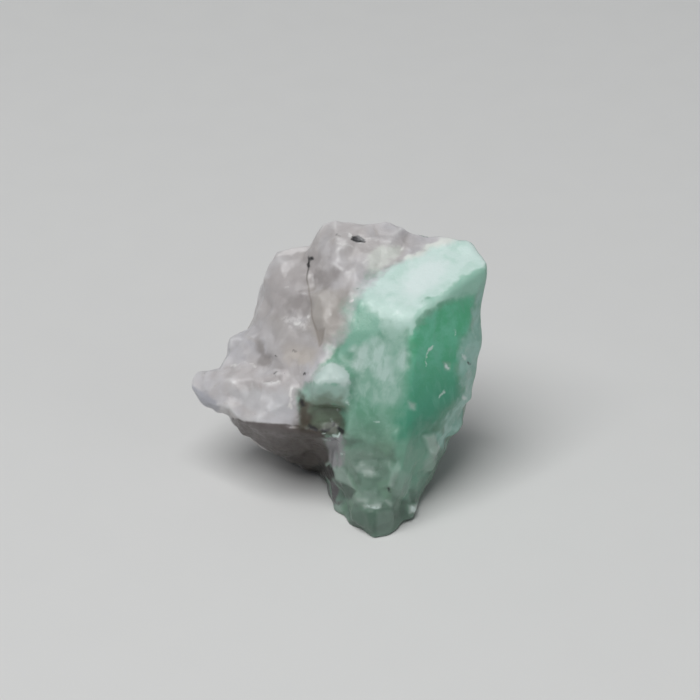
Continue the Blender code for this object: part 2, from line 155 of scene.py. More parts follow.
# Patches of colour: an outline in pixels, how wide its edge fades, and the strength.
PATCHES = {
    "mint": (((358, 293), (366, 285), (375, 275), (385, 267), (397, 261), (410, 257), (420, 252),
        (430, 244), (446, 240), (462, 232), (495, 250), (487, 262), (477, 270), (467, 274), (460, 277),
        (453, 284), (446, 290), (437, 295), (429, 300), (422, 304), (416, 310), (411, 318), (400, 319),
        (390, 317), (382, 315), (377, 309), (370, 302), (363, 298)), 4.0, 1.0),
    "mint_spill": (((360, 290), (372, 292), (384, 304), (400, 312), (413, 312), (412, 324), (400, 328),
        (388, 324), (378, 314), (366, 304), (358, 300)), 8.0, 1.0),
    "nub": (((311, 381), (314, 376), (320, 371), (324, 365), (330, 362), (338, 362), (345, 366),
        (350, 374), (350, 381), (345, 384), (332, 384), (318, 384)), 4.0, 1.0),
    "chamfer": (((381, 314), (391, 317), (411, 316), (416, 312), (413, 322), (409, 331), (404, 339),
        (400, 343), (392, 342), (383, 332)), 7.0, 1.0),
    "bevel": (((405, 314), (410, 306), (424, 296), (436, 290), (443, 284), (450, 278), (457, 270),
        (466, 266), (476, 262), (490, 254), (490, 284), (482, 290), (474, 292), (462, 294), (454, 298),
        (443, 302), (436, 307), (427, 312), (418, 322), (411, 331)), 6.0, 1.0),
    "bevel_right": (((448, 284), (462, 276), (474, 268), (490, 258), (490, 290), (474, 296), (458, 298),
        (446, 300)), 6.0, 0.7),
    "deep": (((410, 334), (416, 328), (423, 321), (430, 315), (438, 308), (446, 302), (456, 299),
        (464, 296), (474, 294), (476, 300), (475, 310), (472, 322), (467, 334), (461, 342), (459, 350),
        (460, 362), (457, 372), (461, 384), (460, 396), (450, 404), (428, 408), (410, 404), (409, 380),
        (409, 350)), 8.0, 1.0),
    "deep_low": (((410, 370), (430, 350), (450, 380), (458, 396), (446, 420), (420, 440), (400, 438),
        (398, 420)), 14.0, 1.0),
    "leaf": (((353, 300), (365, 299), (372, 306), (380, 315), (382, 325), (378, 335), (371, 342),
        (359, 346), (350, 352), (340, 358), (335, 354), (341, 345), (347, 335), (349, 320)), 7.0, 1.0),
    "cloud": (((353, 350), (364, 348), (367, 349), (366, 358), (364, 367), (360, 372), (355, 370),
        (353, 361)), 8.0, 1.5),
    "cloud_band": (((371, 345), (377, 339), (385, 341), (387, 352), (388, 365), (391, 376), (391, 386),
        (385, 390), (380, 384), (375, 376), (369, 368), (366, 359)), 9.0, 1.4),
    "cloud_right": (((400, 355), (404, 350), (409, 354), (408, 366), (404, 369), (401, 364)), 6.5, 1.3),
    "cloud_low": (((352, 374), (370, 376), (392, 388), (398, 404), (372, 404), (352, 394)), 9.0, 0.6),
    "cloud_column": (((382, 330), (404, 336), (404, 396), (392, 402), (384, 380),
        (378, 350)), 9.0, 0.65),
    "rim": (((477, 288), (486, 280), (488, 330), (482, 372), (474, 404), (460, 430), (444, 452),
        (436, 440), (448, 416), (462, 396), (463, 388), (459, 380), (457, 370), (459, 360), (460, 350),
        (463, 340), (470, 332), (473, 320), (476, 306)), 6.0, 1.0),
    # The hollow under the nub, and just under the nub: olive-brown stain and painted shade, darkest at
    # the top.
    "shaded_alcove": (((300, 403), (317, 405), (334, 403), (342, 408), (341, 418), (341, 428), (338, 435),
        (326, 436), (312, 433), (302, 431), (299, 420)), 5.0, 1.0),
    "alcove_shadow": (((318, 406), (334, 404), (342, 408), (338, 418), (326, 416)), 6.0, 0.2),
    "alcove_low_shade": (((304, 420), (324, 424), (344, 420), (348, 434), (330, 438), (304, 434)), 4.5, 0.7),
    "nub_front": (((297, 391), (305, 386), (312, 382), (332, 383), (347, 383), (350, 394), (347, 403),
        (338, 406), (318, 405), (299, 405)), 4.5, 1.0),
    "nub_under_shade": (((306, 398), (320, 396), (342, 395), (345, 408), (306, 410)), 5.0, 0.9),
    "mint_core": (((400, 285), (412, 268), (432, 258), (448, 262), (446, 276), (434, 286), (420, 296),
        (406, 300)), 10.0, 1.0),
    # Painted highlight along the stone's top edge on the right.
    "top_edge_highlight": (((404, 258), (418, 251), (430, 243), (444, 236), (466, 232), (480, 240), (470, 246),
        (448, 247), (430, 251), (414, 262)), 4.0, 0.9),
    "lobe_shade": (((266, 272), (284, 266), (304, 262), (312, 276), (312, 316), (290, 318),
        (262, 318)), 8.0, 0.6),
    "low_shade": (((262, 312), (290, 318), (312, 326), (316, 350), (270, 348), (248, 334)), 10.0, 0.5),
    # Painted brown shade on the left wall of the hollow under the nub, and a dark brown patch below it.
    "brown_shade": (((297, 392), (305, 395), (309, 410), (312, 424), (306, 432), (296, 428),
        (298, 410)), 8.0, 0.9),
    "brown_low": (((298, 427), (314, 428), (326, 434), (327, 440), (312, 439), (300, 435)), 3.5, 0.85),
    "low_green": (((396, 440), (410, 436), (432, 428), (438, 440), (428, 478), (406, 498),
        (396, 470)), 10.0, 0.8),
    "tip_shade": (((346, 510), (396, 508), (412, 514), (400, 530), (382, 540), (350, 534)), 8.0, 0.7),
    "lavender": (((324, 437), (342, 436), (342, 450), (341, 466), (334, 467), (328, 458),
        (326, 446)), 4.0, 1.0),
    # Painted shadow in the dark strip under the ledge, and painted shade in its lower part.
    "strip_shadow": (((306, 478), (316, 466), (324, 462), (332, 466), (335, 474), (333, 481), (326, 482),
        (316, 490)), 4.5, 1.0),
    "strip_low_shade": (((326, 482), (335, 478), (337, 490), (338, 504), (330, 506), (318, 494)), 4.5, 0.9),
    "nose_shade": (((190, 384), (204, 392), (212, 399), (219, 408), (210, 414), (188, 408)), 4.0, 1.0),
    "grey_upper": (((311, 271), (325, 271), (342, 272), (338, 280), (331, 287), (318, 287),
        (309, 282)), 7.0, 0.9),
    "grey_left": (((283, 301), (291, 296), (300, 292), (310, 295), (310, 311), (300, 315),
        (288, 311)), 8.0, 1.0),
    "grey_lobe": (((253, 335), (264, 338), (265, 348), (270, 354), (270, 362), (264, 368), (257, 364),
        (256, 350)), 4.5, 0.9),
    # Painted shade in the valley between the lobes.
    "valley_shade": (((304, 250), (314, 250), (330, 256), (324, 266), (312, 268), (304, 262)), 5.0, 0.6),
    "warm": (((310, 290), (330, 288), (346, 292), (344, 312), (344, 330), (330, 344), (312, 344),
        (308, 318)), 7.0, 0.9),
    "border_soft": (((318, 358), (336, 348), (352, 334), (358, 318), (357, 302), (370, 286), (386, 270),
        (370, 268), (348, 284), (330, 300), (320, 330)), 8.0, 1.0),
    # Painted highlight along the lobe's top edge.
    "edge_highlight": (((276, 256), (284, 249), (300, 246), (312, 242), (308, 250), (296, 254),
        (284, 257)), 2.0, 0.9),
    # White bits with painted glints under the lobe.
    "white_bits_and_glints": (((281, 318), (292, 316), (300, 317), (307, 322), (303, 327), (292, 327),
        (284, 323)), 4.0, 0.6),
    "slate": (((351, 235), (359, 235), (365, 239), (365, 242), (356, 242), (353, 239)), 1.5, 1.0),
    "crack_end": (((313, 329), (324, 329), (322, 336), (318, 346), (315, 340)), 2.0, 1.0),
    "upper_shade": (((270, 260), (320, 228), (398, 228), (404, 246), (372, 262), (352, 296), (346, 330),
        (310, 344), (262, 320)), 10.0, 0.38),
    "upper_right": (((366, 262), (374, 250), (390, 244), (404, 248), (398, 258), (382, 268),
        (370, 276)), 6.0, 0.8),
    "under_warm": (((288, 432), (306, 430), (322, 440), (328, 454), (318, 466), (300, 456),
        (286, 446)), 8.0, 0.7),
    "beige": (((286, 344), (300, 346), (316, 348), (314, 364), (300, 366), (288, 358)), 6.0, 0.6),
    "white_ledge": (((226, 386), (250, 388), (286, 390), (292, 394), (290, 412), (270, 414), (244, 408),
        (230, 400)), 6.0, 0.7),
}

# How ragged a patch's edge is at most, in pixels, and how much of that a facet's edge gets.
RAGGED_REACH = 5.0
FACET_RAGGED = 0.5

# How many times wider the crystal's border is where it fades into the quartz.
BORDER_BLUR = 4.0

# How far noise bends the fine strokes, in pixels.
STROKE_SHAKE = 2.5

# Fine strokes: a line of pixels, how far it reaches, and its strength.
STROKES = {
    # Pale flecks in the crystal, and painted glints.
    "flecks_and_glints": (
        (((432, 346), (429, 351), (426, 355), (426, 367)), 2.6, 0.7),
        (((447, 365), (449, 369)), 4.0, 0.9),
        (((444, 391), (440, 396)), 3.5, 0.75),
        (((456, 330), (455, 336)), 3.0, 0.65),
        (((368, 507), (379, 507)), 2.5, 0.75),
        (((411, 508), (413, 510)), 3.5, 0.9),
        (((437, 446), (436, 456)), 2.5, 0.7),
        (((332, 419), (334, 423)), 3.5, 0.6),
        (((336, 409), (339, 411)), 3.0, 0.6),
        (((375, 422), (377, 423)), 3.6, 0.7),
        (((323, 440), (330, 439)), 3.0, 1.0),
        (((322, 435), (328, 433)), 2.5, 0.85),
        (((334, 436), (340, 434)), 2.8, 0.8),
        (((342, 453), (344, 453)), 3.5, 0.9),
        (((464, 356), (465, 358)), 3.5, 0.8),
        (((463, 397), (465, 398)), 4.0, 0.85),
        (((347, 401), (350, 404)), 4.0, 0.7),
    ),
    # Painted highlights on bright edges and glints, with a few white lines.
    "white_lines_and_highlights": (
        (((262, 382), (280, 383)), 3.0, 0.85),
        (((293, 389), (290, 405)), 3.0, 0.8),
        (((290, 405), (290, 408)), 4.5, 1.0),
        (((231, 366), (244, 362), (256, 366)), 3.0, 0.7),
        (((348, 233), (352, 234)), 3.5, 0.9),
        (((358, 242), (363, 242)), 3.5, 0.8),
        (((365, 238), (380, 240), (394, 246)), 2.5, 0.6),
        (((350, 302), (352, 298)), 4.0, 0.95),
        (((355, 246), (338, 244)), 2.5, 0.6),
        (((286, 288), (290, 289)), 3.0, 0.6),
        (((296, 324), (299, 323)), 4.0, 0.9),
        (((308, 315), (310, 320)), 3.5, 0.75),
        (((363, 262), (370, 258)), 3.5, 0.6),
    ),
    "black": (
        (((352, 238), (358, 240), (364, 241)), 3.0, 0.9),
        (((352, 235), (356, 236)), 2.5, 0.8),
        (((335, 235), (341, 235)), 3.0, 0.7),
        (((309, 265), (311, 260), (313, 258)), 3.6, 0.85),
        (((309, 426), (315, 430)), 6.0, 0.9),
        (((322, 431), (328, 430)), 5.0, 0.9),
        (((332, 426), (335, 424)), 4.5, 0.85),
        (((339, 429), (344, 433)), 5.0, 0.9),
        (((327, 439), (338, 439)), 3.0, 0.7),
        (((302, 400), (303, 405)), 5.0, 0.75),
        (((276, 374), (277, 375)), 3.0, 0.8),
        (((293, 351), (295, 353)), 3.0, 0.75),
        (((277, 356), (278, 357)), 2.6, 0.75),
        (((305, 374), (306, 375)), 2.8, 0.75),
        (((468, 361), (470, 364)), 3.5, 0.75),
        (((389, 489), (390, 491)), 3.5, 0.75),
    ),
}

# Facets: an outline in pixels, how wide its edge is, how far it stands out in millimetres, and its
# painted light and shade, from -1 for a dark shaded facet to 1 for a pale lit one.
FACETS = (
    (((340, 450), (352, 448), (370, 450), (377, 468), (354, 467), (341, 468)), 3.0, 0.07, 0.12),
    (((354, 468), (361, 466), (372, 468), (375, 474), (366, 474), (356, 472)), 2.5, 0.0, 0.4),
    (((336, 466), (344, 469), (352, 480), (356, 489), (347, 486), (336, 479)), 2.0, 0.1, 0.35),
    (((337, 481), (346, 484), (357, 491), (352, 497), (345, 501), (338, 497)), 2.0, -0.12, -0.55),
    (((331, 494), (337, 500), (342, 512), (338, 514), (330, 503)), 2.0, 0.06, 0.3),
    (((352, 490), (372, 492), (384, 500), (381, 507), (365, 507), (354, 501)), 3.0, 0.05, 0.22),
    (((357, 498), (368, 499), (368, 503), (358, 502)), 2.0, 0.0, 0.4),
    (((362, 505), (380, 504), (382, 508), (364, 509)), 1.8, 0.0, 0.65),
    (((386, 500), (392, 502), (391, 506), (387, 504)), 2.0, 0.0, 0.6),
    (((398, 461), (400, 466), (396, 476), (391, 486), (389, 484), (392, 472)), 1.8, 0.05, 0.35),
    (((400, 470), (412, 476), (410, 494), (394, 496), (392, 488)), 3.0, 0.05, 0.22),
    (((424, 437), (434, 434), (438, 446), (436, 458), (428, 450)), 2.5, 0.2, 0.6),
    (((428, 450), (437, 456), (433, 470), (425, 474), (422, 462)), 2.5, 0.1, 0.35),
    (((410, 490), (419, 492), (418, 502), (411, 503)), 2.5, -0.12, -0.35),
    (((408, 505), (415, 504), (415, 512), (409, 514)), 1.8, 0.1, 0.8),
    (((396, 498), (408, 500), (407, 516), (397, 520), (393, 510)), 2.0, -0.08, -0.2),
    (((350, 508), (374, 511), (375, 538), (362, 534), (350, 524)), 1.8, 0.08, -0.1),
    (((376, 511), (394, 510), (396, 524), (390, 533), (377, 538)), 1.8, 0.04, 0.16),
    (((349, 519), (360, 524), (371, 535), (364, 540), (348, 526)), 1.8, -0.12, -0.35),
    (((345, 439), (352, 438), (356, 443), (350, 448), (345, 446)), 2.5, -0.05, -0.3),
    (((352, 235), (359, 235), (365, 240), (363, 243), (354, 240)), 2.0, -0.06, 0.0),
    (((365, 238), (380, 236), (402, 240), (412, 252), (398, 247), (380, 241)), 2.0, 0.08, 0.0),
    (((262, 378), (282, 377), (281, 382), (262, 382)), 1.5, -0.14, 0.0),
    (((443, 362), (451, 363), (450, 371), (444, 370)), 2.0, -0.06, 0.3),
    (((408, 401), (415, 404), (415, 410), (410, 408)), 2.0, -0.06, 0.6),
    (((312, 270), (342, 271), (334, 288), (314, 288)), 5.0, -0.1, 0.0),
    (((284, 298), (308, 292), (312, 312), (290, 315)), 5.0, -0.1, 0.0),
    (((314, 328), (325, 328), (319, 346)), 2.5, -0.08, -0.4),
)

# The lower edge of the ledge: below it the quartz gets its stain and painted shade.
LEDGE_LIP = (
    (190, 418), (212, 419), (224, 419), (234, 418), (242, 420), (257, 422), (285, 424), (304, 426),
)

# A thin dark crack in the quartz. It sets in between the first two corners, is faded from a later
# one on, and ends within a few pixels of the last.
CRACK_LINE = (
    (310, 258), (309, 267), (308, 280), (309, 292), (311, 311), (314, 328), (317, 342),
)
CRACK_FADE_CORNER = 3
CRACK_END = 3.0

# Tints in linear light, for what isn't one patch: the quartz and the stain and painted shade under its
# ledge, the crystal, the crack.
TINTS = {
    "cool_quartz": (0.565, 0.555, 0.575),
    "warm_quartz": (0.525, 0.498, 0.497),
    "cloud_grey": (0.42, 0.40, 0.395),
    "coarse_chip": (0.43, 0.41, 0.405),
    "pale_chip": (0.66, 0.65, 0.655),
    # Painted shade for the hollows and painted light for the crests.
    "hollow": (0.37, 0.345, 0.33),
    "crest": (0.68, 0.67, 0.675),
    "back_stain": (0.40, 0.37, 0.33),
    "back_chip": (0.40, 0.375, 0.36),
    "grey_patch": (0.35, 0.325, 0.32),
    # Stain and painted shade under the ledge, darker deeper down, where the shade falls.
    "stain_and_shade": (0.158, 0.138, 0.136),
    "deep_stain_and_shade": (0.043, 0.034, 0.029),
    "stain_and_shade_cloud": (0.075, 0.065, 0.055),
    "stain_and_shade_chip": (0.14, 0.122, 0.112),
    "warm_stain_and_shade": (0.06, 0.046, 0.036),
    "green": (0.15, 0.36, 0.25),
    "pale_green": (0.22, 0.42, 0.32),
    "streak": (0.28, 0.46, 0.38),
    "broken_dark": (0.115, 0.195, 0.148),
    "broken_pale": (0.185, 0.29, 0.23),
    "broken_chip": (0.175, 0.30, 0.215),
    "broken_frost": (0.25, 0.335, 0.285),
    "flank": (0.13, 0.42, 0.28),
    "flank_pale": (0.29, 0.52, 0.42),
    "flank_streak": (0.42, 0.60, 0.53),
    "deep": (0.092, 0.42, 0.235),
    "deep_pale": (0.155, 0.50, 0.345),
    "deep_foot": (0.065, 0.30, 0.195),
    "deep_streak": (0.16, 0.42, 0.31),
    "cloud_band": (0.465, 0.62, 0.565),
    "rim": (0.25, 0.47, 0.39),
    "rim_pale": (0.34, 0.56, 0.495),
    "rim_chip": (0.46, 0.58, 0.54),
    "mint": (0.65, 0.79, 0.75),
    "mint_dark": (0.56, 0.73, 0.67),
    # The hollow under the nub: olive-brown stain and painted shade.
    "shaded_alcove": (0.105, 0.12, 0.086),
    "alcove_green": (0.175, 0.235, 0.166),
    # Painted light on pale facets and painted shade on dark ones.
    "lit_facet": (0.46, 0.54, 0.50),
    "shaded_facet": (0.05, 0.07, 0.06),
    "crack": (0.08, 0.075, 0.07),
    "crack_faded": (0.31, 0.28, 0.255),
}

# The soft light that goes into the stone: how much of it, and how far, in millimetres.
INNER_LIGHT = 0.85
INNER_REACH = 0.5
STONE_IOR = 1.55

# Bumps of the surface in millimetres, and their strength.
BUMP_HEIGHT = 0.05
BUMP_STRENGTH = 0.5

# Studio, in metres
FLOOR_SIZE = 2.0
FLOOR_COLOUR = (0.70, 0.70, 0.69)
FLOOR_GRAIN = 300.0
WORLD_COLOUR = (0.9, 0.95, 1.0, 1.0)
WORLD_STRENGTH = 0.15

# Lights: the direction they come from, how far off they are, their size and their power in watts.
LIGHTS = {
    "key": ((-0.2, -0.3, 0.9), 0.5, 0.35, 2.1),
    "fill": ((0.8, -0.5, 0.5), 0.5, 0.3, 0.15),
}


def linked(name, data):
    """A new object in the scene."""
    item = bpy.data.objects.new(name, data)
    bpy.context.scene.collection.objects.link(item)
    return item


def applied(shape):
    """The mesh of an object with its modifiers applied. The object is removed."""
    graph = bpy.context.evaluated_depsgraph_get()
    mesh = bpy.data.meshes.new_from_object(shape.evaluated_get(graph))
    bpy.data.objects.remove(shape)
    return mesh


def merged_mesh(node):
    """Points in millimetres and faces of a node, with split points joined again."""
    shape = bmesh.new()
    shape.from_mesh(node.data)
    bmesh.ops.remove_doubles(shape, verts=shape.verts[:], dist=1e-6)
    shape.verts.index_update()
    points = [vert.co / MM for vert in shape.verts]
    faces = [[vert.index for vert in face.verts] for face in shape.faces]
    shape.free()
    return points, faces


def bridged(points, other):
    """Moves the points close to the other piece a little into it, so that no gap is left."""
    moved = []
    for point in points:
        nearest, _, _, distance = other.find_nearest(point, BRIDGE_REACH)
        if nearest is not None and distance > 0.0:
            point = nearest + (nearest - point) / distance * BRIDGE_OVERLAP
        moved.append(point)
    return moved


def read_points(mesh):
    points = np.empty(len(mesh.vertices) * 3)
    mesh.vertices.foreach_get("co", points)
    return points.reshape(-1, 3)


def read_normals(mesh):
    normals = np.empty(len(mesh.vertices) * 3)
    mesh.vertex_normals.foreach_get("vector", normals)
    return normals.reshape(-1, 3)


def write_points(mesh, points):
    mesh.vertices.foreach_set("co", points.ravel())
    mesh.update()


def write_layer(mesh, name, values):
    layer = mesh.attributes.new(name, "FLOAT", "POINT")
    layer.data.foreach_set("value", values.astype(np.float32))


def tree_of(mesh, points):
    faces = [face.vertices[:] for face in mesh.polygons]
    return bvhtree.BVHTree.FromPolygons(points.tolist(), faces)


def smoothed(mesh, points, rounds, amount):
    """Moves each point to its neighbours' mean, by its own amount from 0 to 1."""
    edges = np.empty(len(mesh.edges) * 2, np.int64)
    mesh.edges.foreach_get("vertices", edges)
    start, end = edges.reshape(-1, 2).T
    count = len(points)
    ties = np.bincount(start, minlength=count) + np.bincount(end, minlength=count)
    for _ in range(rounds):
        total = np.stack([
            np.bincount(start, points[end, axis], count) + np.bincount(end, points[start, axis], count)
            for axis in range(3)
        ], axis=1)
        points = points + (total / ties[:, None] - points) * amount[:, None]
    return points


def smoothed_all(mesh, points, rounds):
    return smoothed(mesh, points, rounds, np.full(len(points), SMOOTHING))


def evened(mesh, values, rounds):
    """One value at each point, evened out by its neighbours."""
    return smoothed_all(mesh, np.repeat(values[:, None], 3, axis=1), rounds)[:, 0]


def soft_step(value, low, high):
    """0 up to the low value, 1 from the high value, and smooth between them."""
    share = np.clip((value - low) / (high - low), 0.0, 1.0)
    return share * share * (3.0 - 2.0 * share)


def sampled(points, scale, octaves, offset):
    """Fractal noise from about -1 to 1 at each point."""
    shift = Vector((offset, offset * 1.7, -offset))
    return np.array([
        noise.fractal(Vector(point) * scale + shift, 1.0, 2.0, octaves)
        for point in points
    ])


def chipped(mesh, points, lumps, scale, share, seed):
    """The points moved onto flat chips, as quartz breaks, and each point's tone from 0 to 1.

    The chips are the faces of a lumpy copy of the skin that keeps only a few faces. Each chip has a
    tone of its own.
    """
    normals = read_normals(mesh)
    lumpy = points + normals * (lumps * sampled(points, scale, 2, seed))[:, None]
    copy = mesh.copy()
    write_points(copy, lumpy)
    shape = linked("chips_in_work", copy)
    few = shape.modifiers.new("few_faces", "DECIMATE")
    few.ratio = share
    chips = applied(shape)
    tree = tree_of(chips, read_points(chips))
    nearest = [tree.find_nearest(Vector(point)) for point in lumpy]
    tones = np.random.default_rng(int(seed)).random(len(chips.polygons))
    return np.array([found[0] for found in nearest]), tones[[found[2] for found in nearest]]


def view_places(points):
    """The pixel of the view at which each point shows."""
    offset = points - np.array(CAMERA_PLACE)
    depth = -(offset @ np.array(CAMERA_BACK))
    across = offset @ np.array(CAMERA_RIGHT) / depth
    down = -(offset @ np.array(CAMERA_UP)) / depth
    return VIEW_PIXELS / 2 + FOCAL_PIXELS * np.stack([across, down], axis=1)


def seen_share(mesh, points, normals):
    """1 for the points that the camera sees, and 0 for those that face away or are hidden.

    A ray starts a little off the skin, so that it doesn't meet the face that it leaves.
    """
    ahead, off = 0.15, 0.1
    towards = np.array(CAMERA_PLACE) - points
    towards /= np.linalg.norm(towards, axis=1)[:, None]
    tree = tree_of(mesh, points)
    starts = points + ahead * towards + off * normals
    hidden = [
        tree.ray_cast(Vector(start), Vector(direction))[0] is not None
        for start, direction in zip(starts, towards)
    ]
    share = np.where(hidden, 0.0, soft_step((normals * towards).sum(1), low=0.02, high=0.2))
    return evened(mesh, share, rounds=2)


def to_segment(places, start, end):
    along = end - start
    share = np.clip((places - start) @ along / (along @ along), 0.0, 1.0)
    return np.linalg.norm(places - start - share[:, None] * along, axis=1)


def to_line(places, line):
    corners = np.array(line, float)
    segments = zip(corners, corners[1:])
    return np.min([to_segment(places, start, end) for start, end in segments], axis=0)


def depth_inside(places, outline):
    """How many pixels each place lies inside a closed outline, and less than 0 outside it."""
    corners = np.array(outline, float)
    inside = np.zeros(len(places), bool)
    for start, end in zip(corners, np.roll(corners, -1, axis=0)):
        crosses = (start[1] > places[:, 1]) != (end[1] > places[:, 1])
        if crosses.any():
            share = (places[:, 1] - start[1]) / (end[1] - start[1])
            across = start[0] + share * (end[0] - start[0])
            inside ^= crosses & (places[:, 0] < across)
    distance = to_line(places, (*outline, outline[0]))
    return np.where(inside, distance, -distance)


def patch(places, outline, fade, ragged=0.0):
    """1 inside an outline and 0 outside it, over a ragged edge."""
    edge = ragged * min(fade, RAGGED_REACH)
    return soft_step(depth_inside(places, outline) + edge, -fade, fade)


def along_line(places, line, axis):
    """How many pixels each place is from a line: below it for axis 0, to its right for axis 1."""
    corners = sorted(line, key=lambda corner: corner[axis])
    here = [corner[axis] for corner in corners]
    there = [corner[1 - axis] for corner in corners]
    return places[:, 1 - axis] - np.interp(places[:, axis], here, there)


def plane_height(points, corner, second, third):
    """Height of each point over the plane through three corners."""
    normal = (second - corner).cross(third - corner).normalized()
    return (points - np.array(corner)) @ np.array(normal)


def build_skin():
    """The two solids joined in one skin, and how far each of its points is in the crystal."""
    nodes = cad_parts
    crystal_points, crystal_faces = merged_mesh(nodes["emerald_crystal"])
    quartz_points, quartz_faces = merged_mesh(nodes["quartz_matrix"])
    crystal_tree = bvhtree.BVHTree.FromPolygons(crystal_points, crystal_faces)
    quartz_tree = bvhtree.BVHTree.FromPolygons(quartz_points, quartz_faces)
    wide_points = bridged(crystal_points, quartz_tree)
    first = len(wide_points)
    both = bpy.data.meshes.new("both")
    both.from_pydata(
        wide_points + quartz_points,
        [],
        crystal_faces + [[index + first for index in face] for face in quartz_faces],
    )
    shape = linked("skin_in_work", both)
    one_skin = shape.modifiers.new("one_skin", "REMESH")
    one_skin.mode = "VOXEL"
    one_skin.voxel_size = SKIN_STEP
    skin = applied(shape)
    points = read_points(skin)
    to_crystal = np.array([crystal_tree.find_nearest(point)[3] for point in points])
    to_quartz = np.array([quartz_tree.find_nearest(point)[3] for point in points])
    return skin, to_quartz - to_crystal


def nudged(points):
    """The points with the small corrections of the outline."""
    places = view_places(points)
    for place, shift, reach in NUDGES:
        share = 1.0 - soft_step(np.linalg.norm(places - np.array(place), axis=1), 0.0, reach)
        move = CAMERA_RIGHT * shift[0] - CAMERA_UP * shift[1]
        points = points + share[:, None] * np.array(move) / PIXELS_PER_MM
    return points


def worn_points(mesh, points, seam):
    """The points with the outline corrected, worn edges rounded and the fold filled up."""
    front_depth = np.minimum(
        plane_height(points, TOP_LEFT, PROW_LOW, TOP_FRONT),
        plane_height(points, TOP_FRONT, PROW_LOW, TOP_RIGHT),
    )
    points = nudged(points)

    # Low down the crystal's front edge is worn round.
    worn = 1.0 - soft_step(points[:, 2], low=7.5, high=10.5)
    worn *= soft_step(front_depth, low=-1.6, high=-0.4) * soft_step(seam, low=0.0, high=1.0)
    points = smoothed(mesh, points, EDGE_ROUNDS, worn * SMOOTHING)

    places = view_places(points)
    facing = soft_step(read_normals(mesh) @ np.array(CAMERA_BACK), low=0.0, high=0.2)
    for outline, fade, rounds in WORN_PLACES:
        share = facing * patch(places, outline, fade)
        points = smoothed(mesh, points, rounds, share * SMOOTHING)
    from_fold = np.linalg.norm(points[:, (0, 2)] - np.array(FOLD_PLACE)[[0, 2]], axis=1)
    fold = 1.0 - soft_step(from_fold, FOLD_REACH / 2, FOLD_REACH)
    fold *= (points[:, 1] > FOLD_PLACE[1]) * (1.0 - facing)
    return smoothed(mesh, points, FOLD_ROUNDS, fold * SMOOTHING)


def colour_layers(points, places, seen, ragged):
    """The patches and strokes as layers: a share at each point of the skin."""
    layers = {
        name: seen * strength * patch(places, outline, fade, ragged)
        for name, (outline, fade, strength) in PATCHES.items()
    }
    shake = [sampled(points, scale=2.2, octaves=3, offset=offset) for offset in (11.0, 12.0)]
    shaken = places + STROKE_SHAKE * np.stack(shake, axis=1)
    for name, strokes in STROKES.items():
        near = [strength * (1.0 - to_line(shaken, line) / reach) for line, reach, strength in strokes]
        layers[name] = seen * np.clip(np.max(near, axis=0), 0.0, 1.0)
    return layers


def spread(mesh, seen, rounds, full):
    """What is seen, spread over the skin around it."""
    return soft_step(evened(mesh, seen, rounds), 0.0, full)


def stain_and_shade_depth(mesh, points, places, normals, seen):
    """How far each point is below the ledge's lip, in millimetres, and so inside the stain and painted
    shade.

    Where the view doesn't show the stone, what is low down and faces down gets the stain and painted
    shade instead.
    """
    downward = evened(mesh, soft_step(-normals[:, 2], low=-0.2, high=0.4), rounds=60)
    downward = downward * (1.0 - soft_step(points[:, 2], low=3.0, high=5.0))
    downward = DOWN_SCALE * (downward - DOWN_START)
    below_lip = np.clip(along_line(places, LEDGE_LIP, 0) / PIXELS_PER_MM, -1.0, 3.0)
    lip_share = spread(mesh, seen, rounds=60, full=0.45)
    return below_lip + (1.0 - lip_share) * (downward - below_lip)


def with_chips(mesh, points, rough_share, back):
    """The points moved onto chips from large to fine, and the tone of each size."""
    tones = []
    for lumps, scale, share, seed, front_share, back_share in CHIPS:
        chips, tone = chipped(mesh, points, lumps, scale, share, seed)
        tones.append(evened(mesh, tone, TONE_ROUNDS))
        chips = smoothed(mesh, chips, CHIP_ROUNDS, SMOOTHING - BACK_SHARPNESS * back)
        level_share = rough_share * (front_share + (back_share - front_share) * back)
        points = points + (chips - points) * level_share[:, None]
        write_points(mesh, points)
    return points, tones


def with_facets(mesh, points, places, height, seen, ragged, above_base):
    """The points raised by a height and by the facets, and the painted light and shade of the facets.
    """
    tones = np.zeros(len(points))
    for outline, fade, rise, tone in FACETS:
        share = seen * patch(places, outline, fade, ragged * FACET_RAGGED)
        height += rise * share
        tones += tone * share
    height *= above_base
    points = points + read_normals(mesh) * height[:, None]
    points[:, 2] = np.maximum(points[:, 2], 0.0)
    write_points(mesh, points)
    return points, tones


def standing_out(mesh, points, rounds):
    """How far each point stands out of the smoothed skin, in millimetres."""
    return ((points - smoothed_all(mesh, points, rounds)) * read_normals(mesh)).sum(1)


def crack_span(places):
    """1 along the crack and 0 above and below it."""
    first, second, last = CRACK_LINE[0][1], CRACK_LINE[1][1], CRACK_LINE[-1][1]
    span = soft_step(places[:, 1], first, second)
    return span * (1.0 - soft_step(places[:, 1], last - CRACK_END, last))


